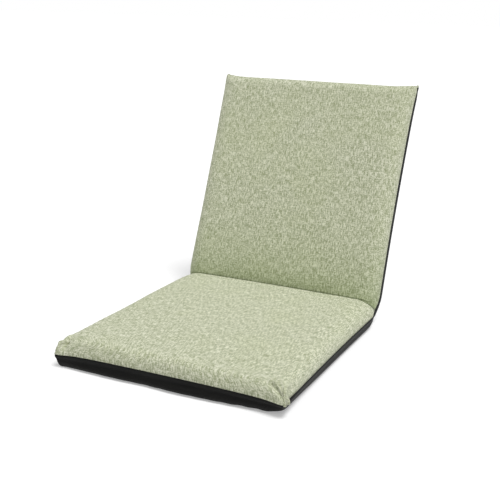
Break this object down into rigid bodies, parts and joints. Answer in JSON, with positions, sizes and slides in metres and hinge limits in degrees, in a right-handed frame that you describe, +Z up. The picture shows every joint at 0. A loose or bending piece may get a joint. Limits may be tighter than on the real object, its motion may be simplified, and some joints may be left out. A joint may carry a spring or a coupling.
{
  "type": "folding floor chair",
  "caption": "Legless folding floor chair: a padded seat and padded back of equal length on a steel tube frame, joined by ratchet hinges.",
  "frame": {"origin": "middle of the flat underside of the seat, on the floor", "axes": "+Z up, -Y out of the seat's front edge, +X to the right seen from the front, along the hinge axis"},
  "size_m": [0.4804, 0.749, 0.5174],
  "materials": {
    "green_cloth": "heathered linen weave",
    "black_cloth": "non-woven",
    "foam": "open-cell foam",
    "painted_tube": "powder coat",
    "plated_steel": "zinc plated",
    "rivet_steel": "bright",
    "spring_steel": "blued",
    "washer_nylon": "moulded",
    "zip_nylon": "moulded",
    "zip_metal": "enamel"
  },
  "bodies": {
    "seat": {"seat_frame_tube": "painted_tube", "seat_cross_bar_front": "painted_tube", "seat_cross_bar_rear": "painted_tube", "left_cheek_outer": "plated_steel", "left_cheek_inner": "plated_steel", "left_pivot_rivet": "rivet_steel", "left_friction_washer": "washer_nylon", "left_pawl_rivet": "rivet_steel", "left_pawl_spring": "spring_steel", "left_spring_post": "rivet_steel", "left_seat_rivets": "rivet_steel", "right_cheek_outer": "plated_steel", "right_cheek_inner": "plated_steel", "right_pivot_rivet": "rivet_steel", "right_friction_washer": "washer_nylon", "right_pawl_rivet": "rivet_steel", "right_pawl_spring": "spring_steel", "right_spring_post": "rivet_steel", "right_seat_rivets": "rivet_steel", "seat_foam_top": "foam", "seat_foam_base": "foam", "seat_cover_top": "green_cloth", "seat_cover_base": "black_cloth", "fold_strip": "black_cloth"},
    "backrest": {"back_frame_tube": "painted_tube", "back_cross_bar_lower": "painted_tube", "back_cross_bar_upper": "painted_tube", "left_ratchet_plate": "plated_steel", "left_back_rivets": "rivet_steel", "right_ratchet_plate": "plated_steel", "right_back_rivets": "rivet_steel", "back_foam_front": "foam", "back_foam_rear": "foam", "back_cover_front": "green_cloth", "back_cover_rear": "black_cloth", "zip_chain": "zip_nylon"},
    "zip_slider": {"zip_slider": "zip_metal"},
    "left_release_ring": {"left_release_ring": "plated_steel"},
    "left_pawl": {"left_pawl": "plated_steel"},
    "right_release_ring": {"right_release_ring": "plated_steel"},
    "right_pawl": {"right_pawl": "plated_steel"}
  },
  "joints": [
    {"name": "backrest_fold", "type": "hinge", "parent": "seat", "child": "backrest", "pos_m": [0, 0.26, 0.039], "axis": [1, 0, 0], "range_deg": [-67.5, 97.5], "deforming": ["seat_cover_top", "back_cover_front", "fold_strip"]},
    {"name": "zip_slide", "type": "slide", "parent": "backrest", "child": "zip_slider", "axis": [1, 0, 0], "range_m": [0, 0.362]},
    {"name": "left_ring_turn", "type": "hinge", "parent": "seat", "child": "left_release_ring", "pos_m": [0, 0.26, 0.039], "axis": [1, 0, 0], "range_deg": [-28, 0]},
    {"name": "left_pawl_swing", "type": "hinge", "parent": "seat", "child": "left_pawl", "pos_m": [0, 0.23788, 0.02351], "axis": [1, 0, 0], "range_deg": [0, 14], "deforming": ["left_pawl_spring"]},
    {"name": "right_ring_turn", "type": "hinge", "parent": "seat", "child": "right_release_ring", "pos_m": [0, 0.26, 0.039], "axis": [1, 0, 0], "range_deg": [-28, 0]},
    {"name": "right_pawl_swing", "type": "hinge", "parent": "seat", "child": "right_pawl", "pos_m": [0, 0.23788, 0.02351], "axis": [1, 0, 0], "range_deg": [0, 14], "deforming": ["right_pawl_spring"]}
  ],
  "couplings": [
    {"joint": "left_pawl_swing", "follows": "left_ring_turn", "ratio": -0.5},
    {"joint": "right_pawl_swing", "follows": "right_ring_turn", "ratio": -0.5}
  ]
}
